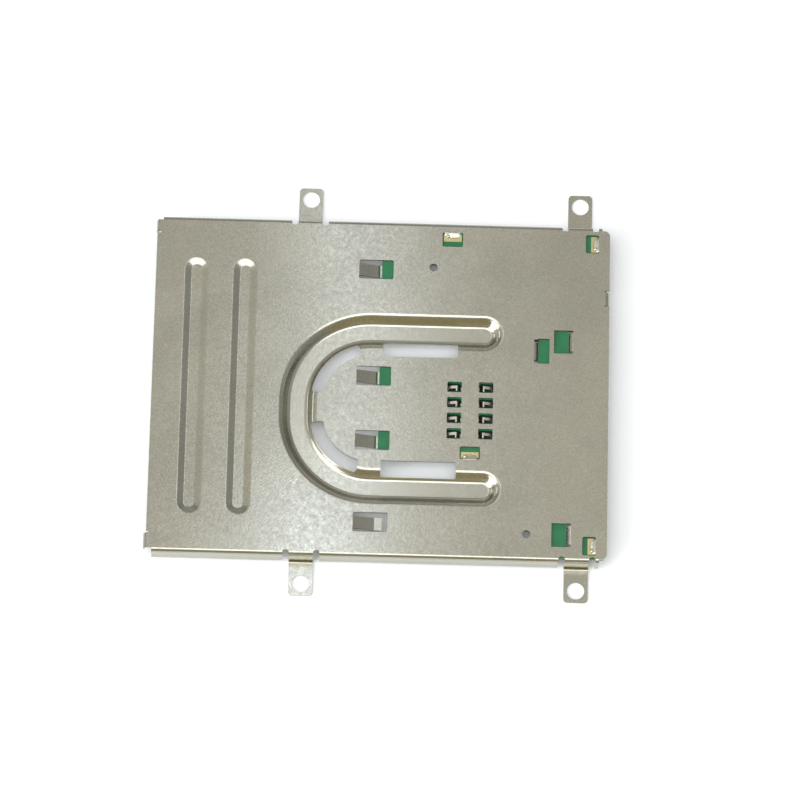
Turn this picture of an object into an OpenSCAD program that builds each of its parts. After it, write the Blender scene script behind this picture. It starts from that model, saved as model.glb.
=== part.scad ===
/* [Cover plate] */
// Length of the plate along the card's travel
plate_l = 71.2; // [70:0.1:86]
// Width of the cover over its front and rear walls
cover_w = 55; // [54.8:0.1:66]
// Height from the mounting face to the top of the plate
cover_h = 3.8; // [3.5:0.1:4.6]
// Thickness of the sheet
sheet_t = 0.3; // [0.25:0.01:0.36]
// Inside radius of every bend in the sheet
bend_r = 0.3; // [0.2:0.05:0.36]
// Gap between the mounting face and the foot of the walls
wall_gap = 0.65; // [0.3:0.05:1.2]
// Corner radius of the plate at the closed end
end_corner_r = 1.5; // [1:0.1:2]
// Corner radius of the plate at the rear of the card entry
entry_corner_r = 0.9; // [0.5:0.1:1.4]

/* [Ears] */
// Distance between the two ears of one side
ear_pitch = 42.6; // [36:0.1:52]
// Distance from the closed end to the nearer ear
ear_inset = 4.6; // [4.4:0.1:5.6]
// Width of an ear
ear_w = 3.75; // [3.3:0.05:4.5]
// Diameter of the screw hole in an ear
ear_hole_d = 2.7; // [2.2:0.05:2.8]
// Distance from the rear wall to its screw holes
rear_reach = 4.6; // [3.6:0.1:5.6]
// Distance from the front wall to its screw holes
front_reach = 3.6; // [3:0.1:4.4]
// Metal beyond the centre of a screw hole
ear_tip = 1.9; // [1.6:0.1:2.4]
// Width of the slit beside an ear
ear_slit = 1; // [0.7:0.1:1.2]

/* [Beads] */
// Depth of the U bead, which guides the card from above
bead_d = 1.25; // [1:0.05:1.4]
// Width of the U bead
u_bead_w = 5.1; // [4.6:0.1:6]
// Width of the floor of the U bead
u_floor_w = 2.8; // [2.2:0.1:3]
// Outer width of the U across the card's travel
u_w = 30.5; // [30.2:0.1:34]
// Outer length of the U along the card's travel
u_l = 34; // [30:0.1:35]
// Outer corner radius of the U
u_corner_r = 14; // [13:0.1:14.6]
// Inside radius of the bends along the U bead
u_bend_r = 0.8; // [0.5:0.1:1.1]
// Distance from the card's centre line to the middle of the U
u_offset = 3.35; // [3:0.05:3.5]
// Width of the two slots round the bend of the U
arc_slot_w = 2; // [1.5:0.1:2.2]
// Width of the two straight slots along the arms of the U
arm_slot_w = 2.45; // [1.8:0.05:2.5]
// Depth of the two shallow cross beads, which stiffen the plate
rib_d = 0.3; // [0.2:0.05:0.4]
// Width of the two cross beads
rib_w = 3.6; // [3:0.1:4]
// Width of the floor of the cross beads
rib_floor_w = 1.7; // [1.5:0.1:2.3]
// Inside radius of the bends along the cross beads
rib_bend_r = 0.9; // [0.5:0.1:1.2]
// Length of the cross beads
rib_l = 41.8; // [34:0.1:44]
// Distance from the card entry to the first cross bead
rib_inset = 6.4; // [5:0.1:6.6]
// Distance between the two cross beads
rib_pitch = 7.6; // [6:0.1:8]

/* [Card] */
// Distance from the closed end to the card's leading edge
stop_inset = 6.2; // [6:0.1:7.2]
// Distance from the leading edge to the nearer column of contact tips
near_col = 11.35; // [11.1:0.05:11.5]
// Distance between the two columns of contact tips
col_pitch = 8; // [7.6:0.1:8.2]
// Distance between the rows of contacts
row_pitch = 2.54; // [2.5:0.01:2.6]
// Distance from the card's centre line to the middle of the contacts
row_offset = 3.2; // [2.9:0.1:3.3]

/* [Circuit board] */
// Thickness of the board
board_t = 0.8; // [0.6:0.05:0.85]
// How far the board's end reaches under the bend of the end tab
board_reach = 0.05; // [0:0.01:0.05]
// Length of the board along the card's travel
board_l = 35.2; // [34.8:0.1:35.4]
// Gap between the board and each wall
board_gap = 0.4; // [0.3:0.05:0.8]

/* [Contacts] */
// Thickness of a contact spring
spring_t = 0.15; // [0.1:0.01:0.18]
// Width of a contact spring
spring_w = 0.45; // [0.35:0.05:0.6]
// Height of a contact's free tip above the mounting face
tip_z = 1.5; // [1.2:0.05:1.7]
// Width of a contact spring at its root
spring_root_w = 0.9; // [0.7:0.05:0.95]
// Width of the contact carrier
carrier_w = 2.6; // [2.4:0.05:2.8]
// Thickness of the contact carrier
carrier_t = 0.55; // [0.5:0.05:0.65]

/* [Flex socket] */
// Number of contacts in the flex socket
pins = 12; // [6:1:14]
// Distance between contacts in the flex socket
pin_pitch = 0.5; // [0.5:0.05:0.6]
// Height of the flex socket below the board
socket_h = 1.2; // [1.15:0.05:1.4]
// Radius of the pivots on the flex socket's latch
pivot_r = 0.22; // [0.18:0.01:0.24]
// Clearance round a latch pivot
pivot_gap = 0.05; // [0.03:0.01:0.08]
// Opening angle of the latch when it is drawn
latch_angle = 0; // [0:1:90]

/* [Hidden] */
round_fn = 48;
cut = 0.5; // how far a cutter passes the face that it cuts
lap = 0.4; // flat metal that joins a bent tab to the plate
bead_lap = 0.8; // flat metal that joins a pressed bead to the plate
bead_edge = bead_lap - 0.2; // the part of it that stands inside the plate's opening

// The plate, with the origin under the middle of the outline
flap_proud = [0.4, 0.15];
total_l = plate_l + flap_proud[0];
x_end = total_l / 2;
x_entry = x_end - plate_l;
total_w = cover_w + rear_reach + front_reach + 2 * ear_tip;
y_front = -total_w / 2 + front_reach + ear_tip;
y_rear = y_front + cover_w;
y_mid = (y_front + y_rear) / 2;
bend_out = bend_r + sheet_t;
board_inset = bend_out - board_reach;
under = cover_h - sheet_t;
board_z = under - board_t;
guide_z = under - bead_d;

// Ears
ear_x = [x_end - ear_inset - ear_pitch, x_end - ear_inset];
slit_at = ear_w / 2 + ear_slit / 2;

// Card datum and contacts
x_stop = x_end - stop_inset;
x_cols = x_stop - near_col - col_pitch / 2;
y_cols = y_mid - row_offset;
rows = [for (i = [0:3]) (i - 1.5) * row_pitch];

// Beads
u_cx = x_stop - 44.75 + u_w / 2;
u_cy = y_mid - u_offset;
u_path = (u_w - u_bead_w) / 2;
u_side = u_w / 2 - u_corner_r;
u_turn_r = u_path - u_side;
u_arm_end = u_cx - u_w / 2 + u_l - u_bead_w / 2;
u_corner_x = u_cx - u_side;
window_shift = 0.16; // how far the contact windows lie in front of the springs
slot_r = u_turn_r - 3;
slot_corner_r = 0.3;
slot_x = [u_cx + 0.44, u_cx + 12.14];
rib_x = [x_entry + rib_inset, x_entry + rib_inset + rib_pitch];
rib_y = y_mid - 0.25;

// Fingers that grip the board's free edge
board_x = x_end - board_inset - board_l;
finger_l = 3.3;
finger_w = 2;
finger_tip = 1.2;
finger_x = board_x - 0.3 - finger_l;
finger_y = [for (d = [22.85, 5.25, -5.25, -18.55]) u_cy + d];
finger_window = [5.4, 3.15];

// Tabs bent down from windows
stop_w = 3;
stop_window = [2.4, 3.8];
stop_y = [y_mid + 8.3, y_mid - 23.2];
stop_foot = 0.55;
locator_x = x_stop - 4.9;
locator_y = y_mid + 6.7;
locator_window = [1.8, 4.1];
end_tab_y = y_mid + 15.6;
end_tab_w = 2.15;
flap_w = [2.4, 1.9];
flap_d = 1.2;
flap_y = [y_front + bend_out + flap_w[0] / 2, y_rear - bend_out - flap_w[1] / 2];
relief_r = 0.15;

// Solder windows: centre, size
solder_windows = [
    [[x_cols - 3.2, y_rear - 2.7], [3.25, 2.4]],
    [[x_end - 2.75, y_rear - 2.85], [2.1, 3.0]],
    [[x_end - 2.75, y_front + 2.65], [2.1, 3.0]],
    [[x_cols + 0.1, u_cy - 6.95], [3.15, 2.1]]
];
// Side of each solder window that carries the gold pad
pad_side = [[0, 1], [1, 0], [1, 0], [0, -1]];
pad_t = 0.04;
burr_at = [[x_end - 27.7, y_rear - 7.45], [x_end - 12.5, y_front + 4.3]];
burr_d = 1.3;
burr_out = 1.8;
burr_h = 0.5;

// Contact windows and the board's spring slots, measured from the middle of the carrier
contact_window = [2.25, 1.7];
contact_window_at = 2.45;
contact_at = col_pitch / 2;
spring_slot = [1.2, contact_at + 0.8];
spring_slot_w = 1.4;
root_z = board_z - carrier_t / 2;
crest_z = under - 0.1;
shoulder_z = crest_z - 0.5;
tail_w = 0.4;
tail_shift = row_pitch / 2;
chamber_wall = 0.26;
chamber_gap = 0.08;
carrier_l = 4 * row_pitch + 1.3;
peg_d = 1;
peg_at = carrier_l / 2 - 0.75;

// The strip of board beyond the stops, where the tall components sit
strip_x = x_stop + 0.75;
socket_y = y_mid - 2;
socket_x = strip_x + 0.3;
socket_depth = 3.9;
socket_half = (pins - 1) * pin_pitch / 2 + 2.1;
cheek = 0.75;
latch_half = socket_half - cheek - 0.05;
pivot_x = socket_x + 2.75;
pivot_z = board_z - socket_h + 0.42;
latch_nose = 1.25;
latch_t = 0.34;
switch_y = y_mid - 15.6;
switch_x = strip_x + 0.25;
chip_at = [strip_x + 2.5, y_mid + 14.4];
chip_w = 4;
chip_t = 0.85;
crystal_at = [strip_x + 2.4, y_mid + 20.1];
leaf_t = 0.15;
leaf_z = [1.45, 2.35];
leaf_bow_x = x_stop - 0.55;
capacitor_at = [
    [strip_x + 1.2, y_mid + 10.9, "y"], [strip_x + 3.0, y_mid + 10.9, "y"],
    [strip_x + 0.9, y_mid + 17.9, "x"], [strip_x + 3.6, y_mid + 17.9, "x"],
    [strip_x + 1.6, y_mid + 6.5, "x"]
];
resistor_at = [
    [strip_x + 2.8, y_mid - 21.4, "x"], [strip_x + 2.8, y_mid - 22.8, "x"],
    [strip_x + 1.2, y_mid - 22.8, "x"], [strip_x + 3.4, y_mid + 8, "y"]
];

// Outline of a bent sheet. The points are the sharp corners of its left-hand face, t is its
// thickness on the right-hand side and r the inside radius of each bend.
function unit(v) = v / norm(v);
function left_of(d) = [-d.y, d.x];
function turned(v, a) = [v.x * cos(a) - v.y * sin(a), v.x * sin(a) + v.y * cos(a)];
function bend_face(p0, p1, p2, t, r, n, depth) =
    let (
        d1 = unit(p1 - p0), d2 = unit(p2 - p1),
        s = d1.x * d2.y - d1.y * d2.x > 0 ? 1 : -1,
        a = acos(min(1, d1 * d2)),
        face_r = s > 0 ? r : r + t,
        centre = p1 - d1 * face_r * tan(a / 2) + left_of(d1) * s * face_r
    )
    [for (k = [0:n]) centre - turned(left_of(d1), s * a * k / n) * (s * face_r + depth)];
function face(p, t, r, n, depth) = concat(
    [p[0] - left_of(unit(p[1] - p[0])) * depth],
    [for (i = [1:len(p) - 2]) each bend_face(p[i - 1], p[i], p[i + 1], t, r, n, depth)],
    [p[len(p) - 1] - left_of(unit(p[len(p) - 1] - p[len(p) - 2])) * depth]
);
function reversed(v) = [for (i = [len(v) - 1:-1:0]) v[i]];
function bent(p, t = sheet_t, r = bend_r, n = 5) =
    concat(face(p, t, r, n, 0), reversed(face(p, t, r, n, t)));

// A profile drawn in x and z, extruded along y
module along_y(y0, y1) {
    translate([0, y1, 0]) rotate([90, 0, 0]) linear_extrude(y1 - y0) children();
}

// A profile drawn in y and z, extruded along x
module along_x(x0, x1) {
    translate([x0, 0, 0]) rotate([90, 0, 90]) linear_extrude(x1 - x0) children();
}

module slab(x0, x1, y0, y1, z0, z1) {
    translate([x0, y0, z0]) cube([x1 - x0, y1 - y0, z1 - z0]);
}

// Rectangle with round corners, about its centre
module round_rect(size, r) {
    square([size.x - 2 * r, size.y], center = true);
    square([size.x, size.y - 2 * r], center = true);
    for (sx = [-1, 1], sy = [-1, 1])
        translate([sx * (size.x / 2 - r), sy * (size.y / 2 - r)]) circle(r, $fn = round_fn);
}

// Slot with one round end, from the origin towards +x
module round_slot(x0, x1, w) {
    translate([x0 + w / 2, 0]) circle(w / 2, $fn = round_fn);
    translate([x0 + w / 2, -w / 2]) square([x1 - x0 - w / 2, w]);
}

// Pressed beads: half width, half floor and the section from one flat lap to the other
function bead_profile(w, floor_w, d, r) = bent([
    [-w / 2 - bead_lap, cover_h], [-w / 2, cover_h], [-floor_w / 2, cover_h - d],
    [floor_w / 2, cover_h - d], [w / 2, cover_h], [w / 2 + bead_lap, cover_h]
], r = r, n = 6);
function half_bead_profile(w, floor_w, d, r) = bent([
    [0, cover_h - d], [floor_w / 2, cover_h - d], [w / 2, cover_h],
    [w / 2 + bead_lap, cover_h]
], r = r, n = 6);

module bead_end(w, floor_w, d, r) {
    rotate_extrude(angle = 180, $fn = round_fn) polygon(half_bead_profile(w, floor_w, d, r));
}

module cross_bead() {
    run = rib_l - rib_w;
    translate([0, -run / 2, 0])
        along_y(0, run) polygon(bead_profile(rib_w, rib_floor_w, rib_d, rib_bend_r));
    for (s = [0, 1]) mirror([0, s, 0])
        translate([0, run / 2, 0]) bead_end(rib_w, rib_floor_w, rib_d, rib_bend_r);
}

module u_bead() {
    section = bead_profile(u_bead_w, u_floor_w, bead_d, u_bend_r);
    for (s = [-1, 1]) {
        translate([0, s * u_path, 0])
            along_x(u_corner_x + u_turn_r - u_path + u_side, u_arm_end) polygon(section);
        translate([u_arm_end, s * u_path, 0]) rotate([0, 0, -90])
            bead_end(u_bead_w, u_floor_w, bead_d, u_bend_r);
    }
    translate([u_corner_x, u_side, 0]) rotate([0, 0, 90])
        rotate_extrude(angle = 90, $fn = round_fn) translate([u_turn_r, 0]) polygon(section);
    translate([u_corner_x, -u_side, 0]) rotate([0, 0, 180])
        rotate_extrude(angle = 90, $fn = round_fn) translate([u_turn_r, 0]) polygon(section);
    translate([u_corner_x - u_turn_r, 0, 0]) along_y(-u_side, u_side) polygon(section);
}

// Flat outline of the U band between two distances from its path's corner centres
module u_band(r_out, r_in, x1) {
    for (s = [-1, 1]) {
        translate([u_corner_x, s > 0 ? u_side + r_in : -u_side - r_out])
            square([x1 - u_corner_x, r_out - r_in]);
        translate([u_corner_x, s * u_side]) intersection() {
            difference() {
                circle(r_out, $fn = 2 * round_fn);
                circle(r_in, $fn = 2 * round_fn);
            }
            translate([-2 * r_out, s > 0 ? 0 : -2 * r_out]) square(2 * r_out);
        }
    }
    translate([u_corner_x - r_out, -u_side]) square([r_out - r_in, 2 * u_side]);
}

module bead_openings() {
    half = u_bead_w / 2 + bead_edge;
    translate([0, u_cy]) {
        u_band(u_turn_r + half, u_turn_r - half, u_arm_end);
        for (s = [-1, 1]) translate([u_arm_end, s * u_path]) circle(half, $fn = round_fn);
    }
    for (x = rib_x) translate([x, rib_y]) {
        square([rib_w + 2 * bead_edge, rib_l - rib_w], center = true);
        for (s = [-1, 1])
            translate([0, s * (rib_l - rib_w) / 2]) circle(rib_w / 2 + bead_edge, $fn = round_fn);
    }
}

// Slot along a ring between two angles that are less than 90 degrees apart, its corners cut by c
module ring_slot(r0, r1, a0, a1, c) {
    in_turn = 2 * asin(c / r0);
    out_turn = 2 * asin(c / r1);
    intersection() {
        difference() {
            circle(r1, $fn = 2 * round_fn);
            circle(r0, $fn = 2 * round_fn);
        }
        polygon([
            for (p = [
                [r0 - c, a0 + in_turn], [r0 + c, a0], [r1 - c, a0], [r1 + c, a0 + out_turn],
                [2 * r1, (a0 + a1) / 2],
                [r1 + c, a1 - out_turn], [r1 - c, a1], [r0 + c, a1], [r0 - c, a1 - in_turn]
            ]) p[0] * [cos(p[1]), sin(p[1])]
        ]);
    }
}

// Slots along the inside of the U: two straight ones along the arms, two round the bend
module u_slots() {
    bridge = 1.2;
    turn_start = 1.9;
    ends = [90 + asin(turn_start / slot_r), 180 - asin(bridge / slot_r)];
    for (s = [0, 1]) {
        translate([0, u_cy]) mirror([0, s])
            translate([(slot_x[0] + slot_x[1]) / 2, u_side + slot_r + 0.05])
                round_rect([slot_x[1] - slot_x[0], arm_slot_w], slot_corner_r);
        translate([u_corner_x, u_cy]) mirror([0, s]) translate([0, u_side])
            ring_slot(slot_r - arc_slot_w / 2, slot_r + arc_slot_w / 2, ends[0], ends[1], slot_corner_r);
    }
}

module plate_openings() {
    for (y = finger_y)
        translate([finger_x + finger_window.x / 2, y]) round_rect(finger_window, 0.25);
    for (s = [-1, 1], y = rows)
        translate([x_cols + s * contact_window_at, y_cols - window_shift + y])
            round_rect(contact_window, 0.2);
    for (w = solder_windows) translate(w[0]) round_rect(w[1], 0.3);
    for (y = stop_y) {
        translate([x_stop - stop_window.x, y - stop_window.y / 2]) square(stop_window);
        translate([x_stop - 0.3, y - stop_window.y / 2]) square([bend_out + 0.3, stop_window.y]);
    }
    translate([locator_x, locator_y - locator_window.y / 2]) square(locator_window);
    translate([locator_x - bend_out, locator_y - stop_window.y / 2])
        square([bend_out + 0.1, stop_window.y]);
    for (p = burr_at) translate(p) circle(burr_d / 2, $fn = round_fn);
}

// Cut at the root of a tab on the plate's edge: the edge is at x = 0, the plate towards +x
module tab_relief(depth, w, ends = [-1, 1]) {
    translate([-cut, -w / 2]) square([depth + cut, w]);
    for (s = ends) translate([0, s * (w / 2 + relief_r)]) {
        translate([-cut, -relief_r]) square([depth + cut, 2 * relief_r]);
        translate([depth, 0]) circle(relief_r, $fn = round_fn);
    }
}

module plate_outline() {
    inner = cover_w - 2 * bend_out;
    difference() {
        translate([x_entry, y_front + bend_out]) square([plate_l, inner]);
        for (i = [0, 1]) translate([x_entry, flap_y[i]])
            tab_relief(bend_out - flap_proud[i], flap_w[i], i == 0 ? [-1, 1] : [-1]);
        translate([x_end, end_tab_y]) scale([-1, 1]) tab_relief(bend_out, end_tab_w);
        for (y = [y_front, y_rear], x = ear_x, s = [-1, 1])
            translate([x + s * slit_at, y + (y > 0 ? -1 : 1) * (bend_out - 0.2)])
                circle(ear_slit / 2, $fn = round_fn);
        for (y = [y_front + bend_out, y_rear - bend_out]) {
            side = y > 0 ? 1 : -1;
            translate([x_end, y]) corner_cut(end_corner_r - bend_out, 1, side);
        }
        translate([x_entry, y_rear - bend_out]) corner_cut(entry_corner_r - bend_out, -1, 1);
    }
}

// What a round corner takes off a square one, at the origin, towards -sx and -sy
module corner_cut(r, sx, sy) {
    difference() {
        translate([-sx * r, -sy * r]) scale([sx, sy]) square(r + cut);
        translate([-sx * r, -sy * r]) circle(r, $fn = round_fn);
    }
}

// One side wall with its bend, drawn for the rear; the front one is mirrored
module wall(x0, x1) {
    along_x(x0, x1) polygon(bent([
        [cover_w / 2 - bend_out - lap, cover_h], [cover_w / 2, cover_h], [cover_w / 2, wall_gap]
    ]));
}

module ear(reach) {
    difference() {
        along_x(-ear_w / 2, ear_w / 2) polygon(bent([
            [cover_w / 2 - bend_out - lap, cover_h], [cover_w / 2, cover_h],
            [cover_w / 2, sheet_t], [cover_w / 2 + reach + ear_tip, sheet_t]
        ]));
        translate([0, cover_w / 2 + reach, -cut])
            cylinder(h = sheet_t + 2 * cut, d = ear_hole_d, $fn = round_fn);
        for (s = [-1, 1])
            translate([s * ear_w / 2, cover_w / 2 + reach + ear_tip, -cut])
                linear_extrude(sheet_t + 2 * cut) corner_cut(0.6, s, 1);
    }
}

module side(reach) {
    gap = ear_w / 2 + ear_slit;
    wall(x_entry + entry_corner_r, ear_x[0] - gap);
    wall(ear_x[0] + gap, ear_x[1] - gap);
    wall(ear_x[1] + gap, x_end - end_corner_r + bend_r);
    for (x = ear_x) translate([x, 0, 0]) ear(reach);
}

// Finger that ramps down under the board's free edge
module finger() {
    top = cover_h - sheet_t - board_t;
    along_y(-finger_w / 2, finger_w / 2) polygon(bent([
        [-lap, cover_h], [0, cover_h], [finger_l, top], [finger_l + finger_tip, top]
    ], n = 3));
}

// Tab bent down from the plate: its free face is at x = 0 and the plate lies towards +x
module down_tab(w, foot) {
    along_y(-w / 2, w / 2) polygon(bent([
        [0, foot], [0, cover_h], [bend_out + lap, cover_h]
    ]));
}

module burr() {
    difference() {
        translate([0, 0, under - burr_h]) cylinder(h = burr_h + sheet_t / 2, d = burr_out, $fn = round_fn);
        translate([0, 0, under - burr_h - cut])
            cylinder(h = burr_h + sheet_t + 2 * cut, d = burr_d, $fn = round_fn);
    }
}

module shield_cover() {
    color("#b8b5a2") {
        difference() {
            union() {
                translate([0, 0, under]) linear_extrude(sheet_t) difference() {
                    plate_outline();
                    bead_openings();
                    plate_openings();
                }
                translate([0, u_cy, 0]) u_bead();
                for (x = rib_x) translate([x, rib_y, 0]) cross_bead();
            }
            translate([0, 0, guide_z - cut]) linear_extrude(cover_h) u_slots();
        }
        translate([0, y_mid, 0]) side(rear_reach);
        translate([0, y_mid, 0]) mirror([0, 1, 0]) side(front_reach);
        for (y = finger_y) translate([finger_x, y, 0]) finger();
        for (y = stop_y) translate([x_stop, y, 0]) down_tab(stop_w, stop_foot);
        translate([locator_x, locator_y, 0]) mirror([1, 0, 0]) down_tab(stop_w - 0.1, board_z + 0.05);
        translate([x_end, end_tab_y, 0]) mirror([1, 0, 0]) down_tab(end_tab_w, board_z - 0.1);
        for (i = [0, 1])
            translate([x_entry - flap_proud[i], flap_y[i], 0]) down_tab(flap_w[i], cover_h - flap_d);
        for (p = burr_at) translate(p) burr();
    }
}

// Openings that the cover's bent tabs, burrs and beads need in the board
module board_openings() {
    clear = 0.35;
    seen_gap = 0.12;
    for (y = stop_y)
        translate([x_stop - seen_gap, y - stop_window.y / 2 - 0.15])
            square([sheet_t + seen_gap + clear, stop_window.y + 0.3]);
    translate([locator_x - sheet_t - clear, locator_y - stop_window.y / 2])
        square([sheet_t + seen_gap + clear, stop_window.y]);
    for (p = burr_at) translate(p) circle(burr_out / 2 + 0.05, $fn = round_fn);
}

module spring_slots() {
    for (s = [-1, 1], y = rows)
        translate([x_cols, y_cols - window_shift + y]) scale([s, 1])
            round_slot(spring_slot[0], spring_slot[1], spring_slot_w);
}

module circuit_board() {
    x1 = x_end - board_inset;
    y0 = y_front + sheet_t + board_gap;
    y1 = y_rear - sheet_t - board_gap;
    half_u = u_w / 2 + bead_edge;
    half_tongue = u_side + slot_r + 0.05 - arm_slot_w / 2 - 0.3;
    bead_end_x = u_arm_end + u_bead_w / 2 + bead_edge;
    color("#2f7a50") translate([0, 0, board_z]) linear_extrude(board_t) difference() {
        translate([board_x, y0]) square([x1 - board_x, y1 - y0]);
        translate([board_x - cut, u_cy + half_tongue])
            square([bead_end_x - board_x + cut, half_u - half_tongue]);
        translate([board_x - cut, y0 - cut])
            square([bead_end_x - board_x + cut, u_cy - half_tongue - y0 + cut]);
        board_openings();
        spring_slots();
        for (s = [-1, 1])
            translate([x_cols, y_cols + s * peg_at]) circle(peg_d / 2 + 0.03, $fn = round_fn);
    }
}

// Gold land in a solder window: the part of the window on the pad's side
module land(i, share) {
    w = solder_windows[i];
    side = pad_side[i];
    size = [w[1].x * (side.x == 0 ? 0.86 : share), w[1].y * (side.y == 0 ? 0.86 : share)];
    translate([
        w[0].x + side.x * (w[1].x - size.x) / 2 - side.x * 0.05,
        w[0].y + side.y * (w[1].y - size.y) / 2 - side.y * 0.05
    ]) square(size, center = true);
}

module ground_pads() {
    color("#c8a13c") translate([0, 0, under]) linear_extrude(pad_t)
        for (i = [0:3]) land(i, 0.58);
}

// Solder fillet from the gold land up to the rim of its window
module solder_joint(i) {
    w = solder_windows[i];
    side = pad_side[i];
    rise = sheet_t - pad_t;
    run = 0.75;
    len = (side.x == 0 ? w[1].x : w[1].y) * 0.7;
    edge = side.x == 0 ? w[1].y / 2 : w[1].x / 2;
    turn = side.x == 0 ? (side.y > 0 ? 90 : -90) : (side.x > 0 ? 0 : 180);
    color("#d9d3be") translate([w[0].x, w[0].y, under + pad_t]) rotate([0, 0, turn])
        translate([edge, len / 2, 0]) rotate([90, 0, 0]) linear_extrude(len) difference() {
            translate([-run, 0]) square([run, rise]);
            translate([-run, run]) circle(run, $fn = round_fn);
        }
}

module solder_rear() { solder_joint(0); }
module solder_rear_corner() { solder_joint(1); }
module solder_front_corner() { solder_joint(2); }
module solder_middle() { solder_joint(3); }

// Part of a contact that lies inside the carrier, drawn for the side towards +x
module contact_root() {
    z0 = root_z - spring_t;
    slab(0.5, carrier_w / 2, spring_w / 2 - spring_root_w, spring_w / 2, z0, root_z);
    slab(0.5, 0.95, 0, tail_shift + tail_w / 2, z0, root_z);
    slab(0.5, carrier_w / 2, tail_shift - tail_w / 2, tail_shift + tail_w / 2, z0, root_z);
}

// Spring with a wide root that rises from the carrier, a narrow arm that falls gently outward
// and a rounded tip
module contact_spring(s, row) {
    half = spring_w / 2;
    edge = carrier_w / 2;
    crest = [edge + 0.7, crest_z];
    shoulder = [contact_at - 0.45, shoulder_z];
    rise = [[edge - 0.05, root_z], [edge + 0.18, root_z], crest];
    color("#cfcab4") translate([x_cols, y_cols + rows[row], 0]) mirror([s < 0 ? 1 : 0, 0, 0]) {
        contact_root();
        along_y(half - spring_root_w, half)
            polygon(bent(concat(rise, [crest + 0.25 * unit(shoulder - crest)]), t = spring_t, r = 0.1));
        along_y(-half, half) polygon(bent(concat(rise, [
            shoulder, [contact_at - 0.12, tip_z + spring_t],
            [contact_at + 0.12, tip_z + spring_t], [contact_at + 0.4, tip_z + 0.6]
        ]), t = spring_t, r = 0.1));
        along_y(tail_shift - tail_w / 2, tail_shift + tail_w / 2) polygon(bent([
            [edge - 0.05, root_z], [edge + 0.18, root_z], [edge + 0.4, board_z], [edge + 1.1, board_z]
        ], t = spring_t, r = 0.05, n = 2));
    }
}

// Contacts 1 to 4 are the column nearer the card's leading edge, counted from the front
module contact_c1() { contact_spring(1, 0); }
module contact_c2() { contact_spring(1, 1); }
module contact_c3() { contact_spring(1, 2); }
module contact_c4() { contact_spring(1, 3); }
module contact_c5() { contact_spring(-1, 0); }
module contact_c6() { contact_spring(-1, 1); }
module contact_c7() { contact_spring(-1, 2); }
module contact_c8() { contact_spring(-1, 3); }

// Chamber of one contact beside the carrier's bar: cheeks along the spring's root, a floor under
// its arm and a slot that the tip goes down through
module chamber() {
    half = spring_w / 2;
    z0 = board_z - carrier_t;
    difference() {
        slab(carrier_w / 2 - 0.1, contact_at + 0.85, half - spring_root_w - chamber_wall,
            half + chamber_gap + chamber_wall, z0, board_z);
        slab(0, carrier_w / 2 + 0.6, half - spring_root_w - chamber_gap, half + chamber_gap,
            z0 - cut, board_z + cut);
        slab(contact_at - 0.7, contact_at + 0.6, -half - 0.1, half + 0.1, z0 - cut, board_z + cut);
    }
}

module contact_carrier() {
    y_shift = tail_shift / 2;
    color("#1c1d1f") translate([x_cols, y_cols, 0]) {
        difference() {
            slab(-carrier_w / 2, carrier_w / 2, y_shift - carrier_l / 2, y_shift + carrier_l / 2,
                board_z - carrier_t, board_z);
            for (s = [0, 1], y = rows) translate([0, y, 0]) mirror([s, 0, 0]) contact_root();
        }
        for (s = [0, 1], y = rows) translate([0, y, 0]) mirror([s, 0, 0]) chamber();
        for (s = [-1, 1]) translate([0, s * peg_at, board_z - 0.1])
            cylinder(h = board_t, d = peg_d, $fn = round_fn);
    }
}

// Card switch: the card's edge pushes a bowed leaf against a post
module card_switch_body() {
    color("#1c1d1f") difference() {
        slab(switch_x, switch_x + 2.2, switch_y - 4, switch_y + 4, board_z - 1.5, board_z);
        slab(switch_x - cut, switch_x + 0.95, switch_y - 2.9, switch_y + 2.4, board_z - 1.5 - cut, board_z - 0.25);
        switch_leaf_foot();
        switch_post_foot();
    }
}

module switch_leaf_foot() {
    slab(switch_x + 0.3, switch_x + 0.3 + leaf_t, switch_y - 3.5, switch_y - 2.85, leaf_z[0], leaf_z[1]);
}

module switch_post_foot() {
    slab(switch_x + 0.7, switch_x + 0.7 + leaf_t, switch_y + 2.35, switch_y + 3.2, leaf_z[0], leaf_z[1]);
}

module card_switch_leaf() {
    x0 = switch_x + 0.3;
    color("#cfcab4") {
        switch_leaf_foot();
        translate([0, 0, leaf_z[0]]) linear_extrude(leaf_z[1] - leaf_z[0]) polygon(bent([
            [x0, switch_y - 2.87], [x0, switch_y - 2.4], [leaf_bow_x, switch_y - 0.5],
            [leaf_bow_x, switch_y + 0.5], [x0 + 0.05, switch_y + 1.9]
        ], t = leaf_t, r = 0.25, n = 4));
    }
}

module card_switch_post() {
    x0 = switch_x + 0.7;
    color("#cfcab4") {
        switch_post_foot();
        slab(x0, x0 + leaf_t, switch_y + 0.9, switch_y + 2.37, leaf_z[0], leaf_z[1]);
    }
}

// Flex socket, hung under the board with its mouth towards the closed end
module flex_socket_body() {
    z0 = board_z - socket_h;
    roof_x = pivot_x - 0.6;
    color("#d8d2c0") difference() {
        union() {
            slab(socket_x, socket_x + socket_depth, -socket_half, socket_half, board_z - 0.32, board_z);
            slab(socket_x, roof_x, -socket_half, socket_half, z0, board_z);
            for (s = [0, 1]) mirror([0, s, 0])
                slab(socket_x, socket_x + socket_depth, socket_half - cheek, socket_half, z0, board_z);
        }
        slab(socket_x + 0.8, socket_x + socket_depth + cut, -socket_half + cheek, socket_half - cheek,
            z0 + 0.32, board_z - 0.32);
        for (i = [0:pins - 1]) translate([0, pin_y(i), 0])
            slab(socket_x - cut, socket_x + 3.2, -0.12, 0.12, z0 + 0.16, board_z + cut);
        translate([pivot_x, 0, pivot_z]) rotate([90, 0, 0])
            cylinder(h = 2 * (socket_half - 0.2), r = pivot_r + pivot_gap, center = true, $fn = round_fn);
    }
}

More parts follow.
